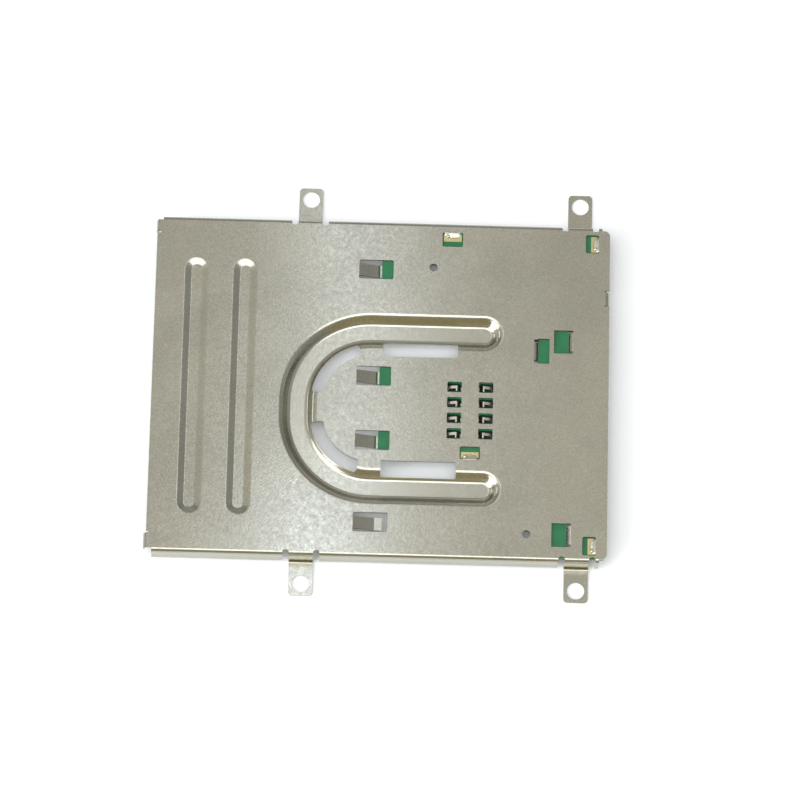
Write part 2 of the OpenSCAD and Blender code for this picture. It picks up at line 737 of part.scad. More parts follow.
function pin_y(i) = (i - (pins - 1) / 2) * pin_pitch;

module flex_socket_latch() {
    r = 0.36;
    color("#3a3330") translate([pivot_x, 0, pivot_z]) rotate([0, latch_angle, 0]) {
        rotate([90, 0, 0]) {
            cylinder(h = 2 * latch_half, r = r, center = true, $fn = round_fn);
            cylinder(h = 2 * (socket_half - 0.3), r = pivot_r, center = true, $fn = round_fn);
        }
        slab(0, latch_nose, -latch_half, latch_half, -r, -r + latch_t);
    }
}

module flex_socket_contacts() {
    z0 = board_z - socket_h;
    color("#cfcab4") for (i = [0:pins - 1]) translate([0, pin_y(i), 0])
        along_y(-0.1, 0.1) polygon([
            [socket_x - 0.35, board_z], [socket_x + 0.6, board_z], [socket_x + 0.6, board_z - 0.14],
            [socket_x + 3.1, board_z - 0.14], [socket_x + 3.1, board_z - 0.4], [socket_x + 2.9, board_z - 0.4],
            [socket_x + 2.7, board_z - 0.3], [socket_x + 0.75, board_z - 0.3], [socket_x + 0.75, z0 + 0.34],
            [socket_x + 2.05, z0 + 0.34], [socket_x + 2.05, z0 + 0.2], [socket_x + 0.35, z0 + 0.2],
            [socket_x + 0.35, board_z - 0.16], [socket_x - 0.35, board_z - 0.16]
        ]);
}

module flex_socket_anchors() {
    z0 = board_z - 0.9;
    color("#cfcab4") for (s = [0, 1]) mirror([0, s, 0]) translate([socket_x + 0.9, socket_half, 0]) {
        slab(0, 1.6, 0, 0.2, z0, board_z);
        slab(0, 1.6, 0.2, 0.8, board_z - 0.2, board_z);
    }
}

module controller_chip() {
    color("#26272a") translate([chip_at.x, chip_at.y, board_z - chip_t]) difference() {
        linear_extrude(chip_t) square(chip_w, center = true);
        translate([-1.5, 1.5, -cut]) cylinder(h = cut + 0.06, d = 0.4, $fn = round_fn);
        chip_lands(chip_t);
    }
}

// Metal ends round the chip's foot, six on each side
module chip_lands(z1) {
    for (a = [0:90:270], i = [0:5]) rotate([0, 0, a])
        translate([chip_w / 2 - 0.35, (i - 2.5) * 0.5 - 0.12, z1 - 0.2]) cube([0.35, 0.24, 0.2]);
}

module controller_lands() {
    color("#cfcab4") translate([chip_at.x, chip_at.y, board_z - chip_t]) chip_lands(chip_t);
}

module clock_crystal() {
    color("#b9b6a6") translate([crystal_at.x, crystal_at.y, board_z - 0.7]) {
        translate([0, 0, 0.25]) linear_extrude(0.45) round_rect([3.2, 2.5], 0.2);
        linear_extrude(0.25) round_rect([2.9, 2.2], 0.3);
    }
}

// A chip component with its two metal ends, lying along x or y
module chip_part(p, size, along) {
    translate([p.x, p.y, board_z - size.z])
        rotate([0, 0, along == "x" ? 0 : 90]) translate([-size.x / 2, -size.y / 2, 0]) cube(size);
}

module capacitors() {
    color("#9a7b58") for (c = capacitor_at) chip_part(c, [1, 0.5, 0.5], c[2]);
}

module resistors() {
    color("#2b2c30") for (c = resistor_at) chip_part(c, [1, 0.5, 0.35], c[2]);
}

shield_cover();
circuit_board();
ground_pads();
solder_rear();
solder_rear_corner();
solder_front_corner();
solder_middle();
contact_carrier();
contact_c1();
contact_c2();
contact_c3();
contact_c4();
contact_c5();
contact_c6();
contact_c7();
contact_c8();
card_switch_body();
card_switch_leaf();
card_switch_post();
translate([0, socket_y, 0]) flex_socket_body();
translate([0, socket_y, 0]) flex_socket_latch();
translate([0, socket_y, 0]) flex_socket_contacts();
translate([0, socket_y, 0]) flex_socket_anchors();
controller_chip();
controller_lands();
clock_crystal();
capacitors();
resistors();
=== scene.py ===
"""Looks for the card reader board: finishes, solder, board print and the stage it is seen on."""

import math
import random

import bmesh
import bpy
from mathutils import Matrix, Vector


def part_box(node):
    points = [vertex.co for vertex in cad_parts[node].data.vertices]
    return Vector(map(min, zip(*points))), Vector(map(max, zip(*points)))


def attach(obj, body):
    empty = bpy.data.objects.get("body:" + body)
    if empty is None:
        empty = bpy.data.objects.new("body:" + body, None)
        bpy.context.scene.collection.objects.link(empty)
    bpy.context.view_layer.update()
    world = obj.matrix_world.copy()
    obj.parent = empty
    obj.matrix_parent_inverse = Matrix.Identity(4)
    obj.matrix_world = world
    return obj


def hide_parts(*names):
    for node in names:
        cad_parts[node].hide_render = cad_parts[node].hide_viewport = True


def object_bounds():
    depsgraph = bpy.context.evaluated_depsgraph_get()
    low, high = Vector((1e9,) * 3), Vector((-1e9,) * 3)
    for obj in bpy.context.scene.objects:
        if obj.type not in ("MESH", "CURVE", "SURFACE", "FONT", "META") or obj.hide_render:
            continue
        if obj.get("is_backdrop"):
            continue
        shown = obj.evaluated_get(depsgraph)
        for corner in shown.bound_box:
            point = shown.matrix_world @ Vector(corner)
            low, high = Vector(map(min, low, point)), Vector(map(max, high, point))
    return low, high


bl_info = {
    "name": "Card reader board",
    "version": (1, 0, 0),
    "blender": (4, 5, 0),
    "location": "View3D > Sidebar > Card reader",
    "description": "Gives the packed card reader board its finishes, solder and printed details",
    "category": "Object",
}

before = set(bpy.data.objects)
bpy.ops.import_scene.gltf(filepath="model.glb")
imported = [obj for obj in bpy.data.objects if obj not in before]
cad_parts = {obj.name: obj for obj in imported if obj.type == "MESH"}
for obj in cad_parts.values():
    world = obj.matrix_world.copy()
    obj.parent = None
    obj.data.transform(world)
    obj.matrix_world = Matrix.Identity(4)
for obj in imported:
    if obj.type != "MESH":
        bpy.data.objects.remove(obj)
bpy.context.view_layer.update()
MM = 0.001
BODY = "board"

# Camera fitted to the corners, holes and beads of the photograph
CAMERA_TARGET = Vector((3.371, -1.217, 0.0)) * MM
CAMERA_DISTANCE = 809.87 * MM
CAMERA_ELEVATION = math.radians(72.0)
CAMERA_TURN = -0.0333955
CAMERA_ROLL = 0.0587737856
CAMERA_LENS = 232.885
CAMERA_SENSOR = 36.0
CAMERA_NEAREST = 0.01

# The stamped sheet: tones as shares of its colour, among them a painted highlight where it is pressed
# down and painted shade on its punched faces, and depth of its grain in millimetres
CLOUD_TONES = (0.95, 1.05)
GRAIN_SHADES = ((0.93, 0.93, 0.92), (1.06, 1.06, 1.07))
PRESSED_HIGHLIGHT_TONE = 1.1
SCRATCH_TONE = 1.25
CUT_SHADE_TONE = 0.04
ROUGHNESS_SWING = 0.04
GRAIN_DEPTH = 0.002

# Heights between which the sheet is pressed down and a highlight is painted on it, and the lowest
# height and the reach from the middle line of its punched edges, on which shade is painted, in
# millimetres
PRESSED_HIGHLIGHT_BOTTOM = 2.0
PRESSED_HIGHLIGHT_TOP = 3.2
CUT_SHADE_LEVEL = 3.42
CUT_SHADE_REACH = 26.8

# The other finishes: tones as shares of their colours, and how far their roughness swings
MASK_TONES = (0.9, 1.12)
DULL_TONE = 0.86
DULL_ROUGHER = 0.06
CLEAN_SMOOTHER = 0.04
PIT_SMOOTHER = 0.05
PIT_ROUGHER = 0.07
INK_TONES = ((0.68, 0.70, 0.66), (0.82, 0.83, 0.8))

# Which way each solder joint's window rim lies from it
SOLDER_RIMS = {
    "solder_rear": (0, 1),
    "solder_rear_corner": (1, 0),
    "solder_front_corner": (1, 0),
    "solder_middle": (0, -1),
}

# A solder fillet's size as shares of the plain wedge that it replaces, and its parts
FILLET_RUN = 1.2
FILLET_HALF = 0.6
FILLET_WOBBLE = (0.93, 1.05)
FILLET_END = 0.05
FILLET_STATIONS = 20
FILLET_STEPS = 8
FILLET_SEED = 11

# Where the fillet's bead stands, as shares of its run and its half length, and how high it is
BEAD_OUT = 0.62
BEAD_ALONG = 0.55
BEAD_HEIGHT = 0.8

# The fillet's least thickness and its bead's width, in millimetres
FILLET_LEAST = 0.01
BEAD_WIDTH = 0.6

# Points round a mound of solder and round a via, and a mound's levels and share of size at its top
MOUND_POINTS = 28
VIA_POINTS = 20
MOUND_LEVELS = 7
MOUND_TIP = 0.02

# How far layers stand out of the board's underside, and how far all reach into it, in millimetres
LAND_HEIGHT = 0.03
VIA_HEIGHT = 0.025
TRACE_HEIGHT = 0.02
INK_HEIGHT = 0.012
LAYER_ROOT = 0.01

CONTACT_NODES = tuple(f"contact_c{i}" for i in range(1, 9))

# A contact's tail from the carrier's middle and the contact's edge, with its land and solder, in mm
TAIL_FROM_MIDDLE = 2.05
TAIL_FROM_EDGE = 0.2
LAND_LEFT = 0.65
LAND_RIGHT = 0.75
LAND_WIDTH = 0.62
TAIL_SOLDER = (1.0, 0.56)
TAIL_SOLDER_HEIGHT = 0.2

# Radii of a via, width of the white print and its gap round each component, in millimetres
VIA_OUTER = 0.26
VIA_INNER = 0.12
INK_WIDTH = 0.12
INK_GAPS = {"controller_chip": 0.3, "clock_crystal": 0.25, "card_switch_body": 0.3}

# Metal ends of the small components, and the solder on them, in millimetres
END_LENGTH = 0.24
END_SKIN = 0.02
END_INSET = 0.002
END_SOLDER_OUT = 0.08
END_SOLDER_LENGTH = 0.5
END_SOLDER_MARGIN = 0.12

# Lamps: place and two sides in metres, the power that drives it and its share, and its colour
WARM = (1.0, 0.95, 0.82)
COOL = (0.97, 1.0, 1.0)
COLD = (0.86, 0.98, 1.2)
LAMPS = {
    "top_light": ((-0.3, 0.22, 1.15), (1.2, 0.88), "top_power", 1.0, WARM),
    "front_light": ((-0.1, -0.26, 1.15), (1.3, 0.6), "front_power", 1.0, COOL),
    "side_light": ((-0.85, -0.5, 0.45), (0.8, 0.8), "side_power", 1.0, COOL),
    "left_light": ((-1.0, 0.34, 0.3), (0.4, 0.5), "side_power", 0.12, COOL),
    "rear_glint": ((-0.004, 0.08, 0.2), (0.012, 0.07), "glint_power", 0.7, COLD),
    "front_glint": ((-0.011, 0.018, 0.2), (0.012, 0.05), "glint_power", 1.0, COLD),
}

# Floor: its colour, how far it lies below the reader in metres, and how strongly it glows
FLOOR_TONE = (0.9, 0.91, 0.94, 1)
FLOOR_GAP = 0.00002
FLOOR_GLOW = 0.12

# Colours of the surroundings from the very front at 0, over the top at 0.5, to the very rear at 1
SKY_STOPS = (
    (0.0, (0.82, 0.72, 0.39)),
    (0.1, (0.82, 0.73, 0.43)),
    (0.2, (0.78, 0.78, 0.7644)),
    (0.45, (0.9, 0.9, 0.882)),
    (0.6, (0.9, 0.9, 0.882)),
    (0.76, (0.6, 0.6, 0.588)),
    (0.95, (1.0, 1.0, 0.98)),
)


def spot(point):
    """A point given in millimetres, in metres."""
    return Vector(point) * MM


def box_mm(node):
    """Lowest and highest corner of a node, in millimetres."""
    low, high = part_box(node)
    return Vector(low) / MM, Vector(high) / MM


# Settings that a user would change


class ReaderLooks(bpy.types.PropertyGroup):
    """Colours and sizes of the reader's finishes and details"""

    sheet_tone: bpy.props.FloatVectorProperty(
        name="Sheet colour",
        description="Colour of the stamped cover",
        subtype="COLOR",
        size=3,
        min=0.0,
        max=1.0,
        default=(0.4, 0.388, 0.326),
    )
    sheet_roughness: bpy.props.FloatProperty(
        name="Sheet roughness",
        description="How dull the stamped cover is",
        subtype="FACTOR",
        min=0.05,
        max=1.0,
        default=0.2,
    )
    sheet_grain: bpy.props.FloatProperty(
        name="Sheet grain",
        description="Strength of the sheet's grain, 1 as photographed",
        min=0.0,
        max=4.0,
        default=1.0,
    )
    mask_tone: bpy.props.FloatVectorProperty(
        name="Mask colour",
        description="Colour of the board's solder mask",
        subtype="COLOR",
        size=3,
        min=0.0,
        max=1.0,
        default=(0.004, 0.135, 0.046),
    )
    trace_width: bpy.props.FloatProperty(
        name="Trace width",
        description="Width of the copper traces under the mask",
        unit="LENGTH",
        min=0.0001,
        max=0.001,
        default=0.00018,
    )
    solder_height: bpy.props.FloatProperty(
        name="Solder height",
        description="Height of the mounds on the component lands",
        unit="LENGTH",
        min=0.00005,
        max=0.0005,
        default=0.00022,
    )


class ReaderStage(bpy.types.PropertyGroup):
    """Size of the floor, and strength of the lights and surroundings"""

    floor_size: bpy.props.FloatProperty(
        name="Floor size",
        description="Width of the floor",
        unit="LENGTH",
        min=0.5,
        max=20.0,
        default=6.0,
    )
    side_power: bpy.props.FloatProperty(
        name="Side light",
        description="Power of the lights at the left",
        unit="POWER",
        min=0.0,
        max=50.0,
        default=9.0,
    )
    top_power: bpy.props.FloatProperty(
        name="Top light",
        description="Power of the light overhead",
        unit="POWER",
        min=0.0,
        max=50.0,
        default=1.15,
    )
    front_power: bpy.props.FloatProperty(
        name="Front light",
        description="Power of the light that is overhead and a little in front",
        unit="POWER",
        min=0.0,
        max=50.0,
        default=6.5,
    )
    glint_power: bpy.props.FloatProperty(
        name="Glint",
        description="Power of the two small lamps that make the bright stripe on the plate",
        unit="POWER",
        min=0.0,
        max=1.0,
        default=0.007,
    )
    sky_strength: bpy.props.FloatProperty(
        name="Sky strength",
        description="Brightness of the pale surroundings",
        min=0.0,
        max=2.0,
        default=0.62,
    )


def looks():
    """The finishes' settings in this scene."""
    return bpy.context.scene.reader_looks


def stage():
    """The stage's settings in this scene."""
    return bpy.context.scene.reader_stage


# Nodes


class Nodes:
    """A node tree, with a short way to add nodes and join their sockets."""

    def __init__(self, tree):
        self.tree = tree

    def feed(self, socket, given):
        """Joins another node's output to a socket, or sets the socket to a plain value."""
        if isinstance(given, bpy.types.NodeSocket):
            self.tree.links.new(given, socket)
        else:
            socket.default_value = given

    def node(self, kind, settings=None, **sockets):
        """A node with its settings, and with what each named socket is given."""
        made = self.tree.nodes.new(kind)
        for name, value in (settings or {}).items():
            setattr(made, name, value)
        for name, given in sockets.items():
            self.feed(made.inputs[name.replace("_", " ")], given)
        return made

    def reckon(self, operation, *terms, clamp=False):
        """The result of one sum on outputs and numbers."""
        made = self.node("ShaderNodeMath", {"operation": operation, "use_clamp": clamp})
        for socket, term in zip(made.inputs, terms):
            self.feed(socket, term)
        return made.outputs["Value"]


class Effect(Nodes):
    """A node group with named inputs that puts out one mask."""

    def __init__(self, name, **inputs):
        super().__init__(bpy.data.node_groups.new(name, "ShaderNodeTree"))
        face = self.tree.interface
        for label, default in inputs.items():
            kind = "NodeSocketVector" if isinstance(default, tuple) else "NodeSocketFloat"
            face.new_socket(name=label, in_out="INPUT", socket_type=kind).default_value = default
        face.new_socket(name="Mask", in_out="OUTPUT", socket_type="NodeSocketFloat")
        self.given = self.node("NodeGroupInput").outputs

    def millimetres(self):
        """Object coordinates in millimetres."""
        place = self.node("ShaderNodeTexCoord").outputs["Object"]
        sized = self.node("ShaderNodeVectorMath", {"operation": "SCALE"}, Vector=place, Scale=1 / MM)
        return sized.outputs["Vector"]

    def stretched(self):
        """Object coordinates in millimetres, times the effect's own stretch along each axis."""
        pulled = self.node("ShaderNodeVectorMath", {"operation": "MULTIPLY"})
        self.feed(pulled.inputs[0], self.millimetres())
        self.feed(pulled.inputs[1], self.given["Stretch"])
        return pulled.outputs["Vector"]

    def give(self, mask):
        """Puts out the mask, and hands back the finished group."""
        self.node("NodeGroupOutput", Mask=mask)
        return self.tree


def grain_effect():
    """Cloudy or streaky noise: the stretch is its frequency along each axis, per millimetre."""
    e = Effect("grain", Stretch=(1.0, 1.0, 1.0), Detail=3.0, Low=0.3, High=0.7)
    noise = e.node("ShaderNodeTexNoise", Vector=e.stretched(), Scale=1.0, Detail=e.given["Detail"])
    ramp = e.node(
        "ShaderNodeMapRange",
        {"interpolation_type": "SMOOTHSTEP"},
        Value=noise.outputs["Fac"],
        From_Min=e.given["Low"],
        From_Max=e.given["High"],
    )
    return e.give(ramp.outputs["Result"])


def scratch_effect():
    """Thin lines that run across a surface and break off: white where there is a scratch."""
    e = Effect("scratches", Stretch=(1.0, 1.0, 1.0), Width=0.02, Patches=0.55)
    noise = e.node("ShaderNodeTexNoise", Vector=e.stretched(), Scale=1.0, Detail=1.0)
    off = e.reckon("ABSOLUTE", e.reckon("SUBTRACT", noise.outputs["Fac"], 0.5))
    line = e.reckon("LESS_THAN", off, e.given["Width"])
    patch = e.node("ShaderNodeTexNoise", Vector=e.millimetres(), Scale=0.35, Detail=2.0)
    kept = e.reckon("GREATER_THAN", patch.outputs["Fac"], e.given["Patches"])
    return e.give(e.reckon("MULTIPLY", line, kept))


def cloth_effect():
    """The square weave of glass cloth: white on the crown of each thread."""
    e = Effect("glass_cloth", Stretch=(1.0, 1.0, 1.0))
    place = e.node("ShaderNodeSeparateXYZ", Vector=e.stretched())
    waves = [e.reckon("SINE", place.outputs[axis]) for axis in ("X", "Y")]
    ramp = e.node("ShaderNodeMapRange", Value=e.reckon("MULTIPLY", *waves), From_Min=-1.0)
    return e.give(ramp.outputs["Result"])


def band_effect():
    """A band of heights in the object: white between the two levels, with soft ends."""
    e = Effect("height_band", Bottom=0.0, Top=1.0, Fade=0.3)
    height = e.node("ShaderNodeSeparateXYZ", Vector=e.millimetres()).outputs["Z"]
    above = e.reckon("SUBTRACT", height, e.given["Bottom"])
    below = e.reckon("SUBTRACT", e.given["Top"], height)
    ends = [e.reckon("DIVIDE", gap, e.given["Fade"], clamp=True) for gap in (above, below)]
    return e.give(e.reckon("MULTIPLY", *ends))


def cut_shade_effect():
    """Upright faces left by a punch, above a level and within a reach of the middle line: white; the
    sheet paints them nearly black there as painted shade.
    """
    e = Effect("shaded_cut_faces", Reach=25.0, Level=0.0, Slant=0.2)
    place = e.node("ShaderNodeSeparateXYZ", Vector=e.millimetres())
    facing = e.node("ShaderNodeTexCoord").outputs["Normal"]
    lean = e.node("ShaderNodeSeparateXYZ", Vector=facing)
    near = e.reckon("LESS_THAN", e.reckon("ABSOLUTE", place.outputs["Y"]), e.given["Reach"])
    upright = e.reckon("LESS_THAN", e.reckon("ABSOLUTE", lean.outputs["Z"]), e.given["Slant"])
    above = e.reckon("GREATER_THAN", place.outputs["Z"], e.given["Level"])
    return e.give(e.reckon("MULTIPLY", e.reckon("MULTIPLY", near, upright), above))


EFFECT_MAKERS = {
    "grain": grain_effect,
    "scratches": scratch_effect,
    "glass_cloth": cloth_effect,
    "height_band": band_effect,
    "shaded_cut_faces": cut_shade_effect,
}
EFFECTS = {}


def effect(name):
    """A node group that finishes share, made the first time it is asked for."""
    if name not in EFFECTS:
        EFFECTS[name] = EFFECT_MAKERS[name]()
    return EFFECTS[name]


# Finishes


class Finish(Nodes):
    """A material, with the mixes that the finishes are made of."""

    def __init__(self, name):
        self.material = bpy.data.materials.new(name)
        self.material.use_nodes = True
        super().__init__(self.material.node_tree)
        self.tree.nodes.clear()
        self.output = self.node("ShaderNodeOutputMaterial")
        self.surface = self.node("ShaderNodeBsdfPrincipled")
        self.feed(self.output.inputs["Surface"], self.surface.outputs["BSDF"])

    def set(self, **sockets):
        """Gives values or outputs to the surface's sockets."""
        for name, given in sockets.items():
            self.feed(self.surface.inputs[name.replace("_", " ")], given)

    def mask(self, name, **sockets):
        """The mask of a shared effect, with this finish's own values."""
        return self.node("ShaderNodeGroup", {"node_tree": effect(name)}, **sockets).outputs["Mask"]

    def mix(self, factor, under, over, way="MIX"):
        """The colour of one mix node on two colours, each an output or plain."""
        ways = {"data_type": "RGBA", "blend_type": way}
        pair = [c if isinstance(c, bpy.types.NodeSocket) else (*c, 1) for c in (under, over)]
        return self.node("ShaderNodeMix", ways, Factor=factor, A=pair[0], B=pair[1]).outputs["Result"]

    def spread(self, mask, low, high):
        """A value between two numbers, by a mask."""
        return self.node("ShaderNodeMapRange", Value=mask, To_Min=low, To_Max=high).outputs["Result"]

    def relief(self, mask, depth, under=None):
        """A bump of that depth in millimetres, by a mask, on top of another bump if one is given."""
        bump = self.node("ShaderNodeBump", Strength=1.0, Distance=depth * MM, Height=mask)
        if under is not None:
            self.feed(bump.inputs["Normal"], under)
        return bump.outputs["Normal"]


def sheet_finish(name):
    """Stamped steel sheet: a warm grey with a fine grain, a painted highlight on its sunken bead band
    and painted shade on its punched faces.
    """
    f = Finish(name)
    tone = Vector(looks().sheet_tone)
    rough = looks().sheet_roughness
    depth = GRAIN_DEPTH * looks().sheet_grain
    cloud = f.mask("grain", Stretch=(0.09, 0.11, 0.11), Detail=3.0, Low=0.3, High=0.7)
    mottle = f.mask("grain", Stretch=(1.5, 1.5, 1.5), Detail=3.0, Low=0.25, High=0.75)
    fine = f.mask("grain", Stretch=(3.6, 3.6, 3.6), Detail=2.0, Low=0.3, High=0.7)
    pressed_highlight = f.mask("height_band", Bottom=PRESSED_HIGHLIGHT_BOTTOM, Top=PRESSED_HIGHLIGHT_TOP, Fade=0.5)
    scratches = f.mask("scratches", Stretch=(0.5, 0.9, 0.7), Width=0.0035, Patches=0.6)
    cut_shade = f.mask("shaded_cut_faces", Reach=CUT_SHADE_REACH, Level=CUT_SHADE_LEVEL, Slant=0.2)
    colour = f.mix(cloud, tone * CLOUD_TONES[0], tone * CLOUD_TONES[1])
    colour = f.mix(1.0, colour, f.mix(fine, *GRAIN_SHADES), "MULTIPLY")
    # Painted highlight: brighter between two heights, where the sheet is pressed down into its bead
    colour = f.mix(pressed_highlight, colour, tone * PRESSED_HIGHLIGHT_TONE)
    colour = f.mix(scratches, colour, tone * SCRATCH_TONE)
    f.set(
        # Painted shade: the punched upright faces are made nearly black
        Base_Color=f.mix(cut_shade, colour, tone * CUT_SHADE_TONE),
        Metallic=1.0,
        Roughness=f.spread(mottle, rough - ROUGHNESS_SWING, rough + ROUGHNESS_SWING),
        Normal=f.relief(fine, depth, f.relief(mottle, depth)),
    )
    return f.material


def mask_finish(name, shade, roughness, weave):
    """Solder mask over glass cloth: a clear, slightly wavy coat."""
    f = Finish(name)
    tone = Vector(looks().mask_tone) * shade
    cloud = f.mask("grain", Stretch=(0.5, 0.5, 0.5), Detail=3.0, Low=0.3, High=0.7)
    cloth = f.mask("glass_cloth", Stretch=(14.0, 14.0, 14.0))
    f.set(
        Base_Color=f.mix(cloud, tone * MASK_TONES[0], tone * MASK_TONES[1]),
        Roughness=roughness,
        Coat_Weight=0.1,
        Coat_Roughness=0.2,
        Normal=f.relief(cloth, weave),
    )
    return f.material


def metal_finish(name, colour, roughness, grain=(3.0, 3.0, 3.0), depth=0.002):
    """Plated or bare metal with a fine grain and duller patches."""
    f = Finish(name)
    tone = Vector(colour)
    cloud = f.mask("grain", Stretch=grain, Detail=3.0, Low=0.3, High=0.7)
    f.set(
        Base_Color=f.mix(cloud, tone * DULL_TONE, tone),
        Metallic=1.0,
        Roughness=f.spread(cloud, roughness + DULL_ROUGHER, roughness - CLEAN_SMOOTHER),
        Normal=f.relief(cloud, depth),
    )
    return f.material


def moulded_finish(name, colour, roughness, depth=0.003, flow=1.15):
    """Moulded plastic or ceramic: fine pits, and a faint change of tone along the flow."""
    f = Finish(name)
    tone = Vector(colour)
    pits = f.mask("grain", Stretch=(9.0, 9.0, 9.0), Detail=2.0, Low=0.35, High=0.65)
    flowed = f.mask("grain", Stretch=(0.5, 1.2, 0.8), Detail=3.0, Low=0.3, High=0.7)
    f.set(
        Base_Color=f.mix(flowed, tone, tone * flow),
        Roughness=f.spread(pits, roughness - PIT_SMOOTHER, roughness + PIT_ROUGHER),
        Specular_IOR_Level=0.3,
        Normal=f.relief(pits, depth),
    )
    return f.material


def ink_finish(name):
    """White board print, a little thin in places."""
    f = Finish(name)
    thin = f.mask("grain", Stretch=(6.0, 6.0, 6.0), Detail=2.0, Low=0.35, High=0.65)
    f.set(Base_Color=f.mix(thin, *INK_TONES), Roughness=0.55)
    return f.material


# How each finish is made: depths in millimetres, the mask's shade as a share of the mask colour
FINISH_MAKERS = {
    "stamped_sheet": (sheet_finish, {}),
    "green_mask": (mask_finish, dict(shade=1.0, roughness=0.45, weave=0.002)),
    "masked_copper": (mask_finish, dict(shade=1.7, roughness=0.3, weave=0.001)),
    "gold_plating": (metal_finish, dict(colour=(0.64, 0.53, 0.27), roughness=0.3)),
    "bright_solder": (
        metal_finish, dict(colour=(0.6, 0.58, 0.48), roughness=0.32, grain=(2, 2, 2), depth=0.006)
    ),
    "plated_spring": (metal_finish, dict(colour=(0.74, 0.7, 0.6), roughness=0.3, grain=(1, 8, 8))),
    "crystal_lid": (metal_finish, dict(colour=(0.66, 0.64, 0.58), roughness=0.36, grain=(0.8, 7, 7))),
    "black_moulding": (moulded_finish, dict(colour=(0.012, 0.012, 0.012), roughness=0.55)),
    "ivory_moulding": (moulded_finish, dict(colour=(0.66, 0.6, 0.47), roughness=0.48, flow=0.94)),
    "brown_latch": (moulded_finish, dict(colour=(0.055, 0.04, 0.032), roughness=0.45)),
    "chip_package": (moulded_finish, dict(colour=(0.03, 0.03, 0.033), roughness=0.56, depth=0.005)),
    "capacitor_body": (moulded_finish, dict(colour=(0.36, 0.22, 0.12), roughness=0.35, depth=0.001)),
    "resistor_glaze": (moulded_finish, dict(colour=(0.02, 0.02, 0.024), roughness=0.25, depth=0.001)),
    "board_ink": (ink_finish, {}),
}
FINISHES = {}


def finish(name):
    """One finish of the reader, made the first time it is asked for."""
    if name not in FINISHES:
        maker, values = FINISH_MAKERS[name]
        FINISHES[name] = maker(name, **values)
    return FINISHES[name]


def paint(node, finish_name):
    """Puts a finish on every slot of a CAD node."""
    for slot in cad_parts[node].material_slots:
        slot.material = finish(finish_name)


# Meshes, made in millimetres


def new_piece(name, bm, finish_name, smooth=True):
    """A mesh piece that rides on the board."""
    mesh = bpy.data.meshes.new(name)
    bmesh.ops.recalc_face_normals(bm, faces=bm.faces)
    bm.to_mesh(mesh)
    bm.free()
    if smooth:
        mesh.shade_smooth()
    piece = bpy.data.objects.new(name, mesh)
    bpy.context.scene.collection.objects.link(piece)
    piece.data.materials.append(finish(finish_name))
    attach(piece, BODY)
    return piece


def add_loft(bm, rings, looped=False):
    """Skins a row of rings with the same number of points, and caps its ends or joins them."""
    made = [[bm.verts.new(spot(p)) for p in ring] for ring in rings]
    count = len(made[0])
    following = made[1:] + made[:1] if looped else made[1:]
    for low, high in zip(made, following):
        for i in range(count):
            j = (i + 1) % count
            bm.faces.new((low[i], low[j], high[j], high[i]))
    if not looped:
        bm.faces.new(list(reversed(made[0])))
        bm.faces.new(made[-1])


def add_strip(bm, points, width, z0, z1):
    """A flat strip along a path in plan, from height z0 to z1, that keeps its width round bends."""
    sharpest = 0.4
    path = [Vector(p) for p in points]
    rings = []
    for i, here in enumerate(path):
        before = (here - path[i - 1]).normalized() if i else None
        after = (path[i + 1] - here).normalized() if i + 1 < len(path) else None
        along = ((before or after) + (after or before)).normalized()
        side = Vector((-along.y, along.x))
        reach = width / 2 / max(sharpest, along.dot(before or after))
        a, b = here + side * reach, here - side * reach
        rings.append([(a.x, a.y, z0), (b.x, b.y, z0), (b.x, b.y, z1), (a.x, a.y, z1)])
    add_loft(bm, rings)


def add_ring(bm, centre, outer, inner, z0, z1):
    """A flat ring, such as the land of a via."""
    middle = Vector(centre)
    rings = []
    for k in range(VIA_POINTS):
        angle = 2 * math.pi * k / VIA_POINTS
        c, s = math.cos(angle), math.sin(angle)
        rings.append([
            (middle.x + r * c, middle.y + r * s, z)
            for r, z in ((inner, z0), (outer, z0), (outer, z1), (inner, z1))
        ])
    add_loft(bm, rings, looped=True)


def add_mound(bm, centre, size, height, square=3.0):
    """A wetted mound of solder: flat below, domed above, on a soft-cornered outline."""
    foot = Vector(centre)
    rings = []
    for level in range(MOUND_LEVELS + 1):
        t = level / MOUND_LEVELS
        share = (1 - t**2) ** 0.5 if t < 1 else MOUND_TIP
        ring = []
        for k in range(MOUND_POINTS):
            angle = 2 * math.pi * k / MOUND_POINTS
            c, s = math.cos(angle), math.sin(angle)
            x = math.copysign(abs(c) ** (2 / square), c) * size[0] / 2
            y = math.copysign(abs(s) ** (2 / square), s) * size[1] / 2
            ring.append((foot.x + x * share, foot.y + y * share, foot.z + height * t))
        rings.append(ring)
    add_loft(bm, rings)


# Places under the board


def board_underside():
    """Height of the board's underside, in millimetres."""
    return box_mm("circuit_board")[0].z


def add_layer(bm, points, width, height):
    """A strip on the board's underside that stands out by a height and is rooted in the board."""
    under = board_underside()
    add_strip(bm, points, width, under - height, under + LAYER_ROOT)


def contact_tail(node):
    """The middle of a contact's soldered tail, and which way along X it points."""
    carrier_low, carrier_high = box_mm("contact_carrier")
    middle = (carrier_low.x + carrier_high.x) / 2
    low, high = box_mm(node)
    side = 1 if (low.x + high.x) / 2 > middle else -1
    return Vector((middle + side * TAIL_FROM_MIDDLE, high.y - TAIL_FROM_EDGE)), side


# Operators


class READER_OT_shield(bpy.types.Operator):
    """Finishes the stamped cover"""

    bl_idname = "card_reader.shield"
    bl_label = "Stamped cover"

    def execute(self, context):
        paint("shield_cover", "stamped_sheet")
        return {"FINISHED"}


class READER_OT_board(bpy.types.Operator):
    """Finishes the circuit board and its gold lands"""

    bl_idname = "card_reader.board"
    bl_label = "Circuit board"

    def execute(self, context):
        paint("circuit_board", "green_mask")
        paint("ground_pads", "gold_plating")
        return {"FINISHED"}


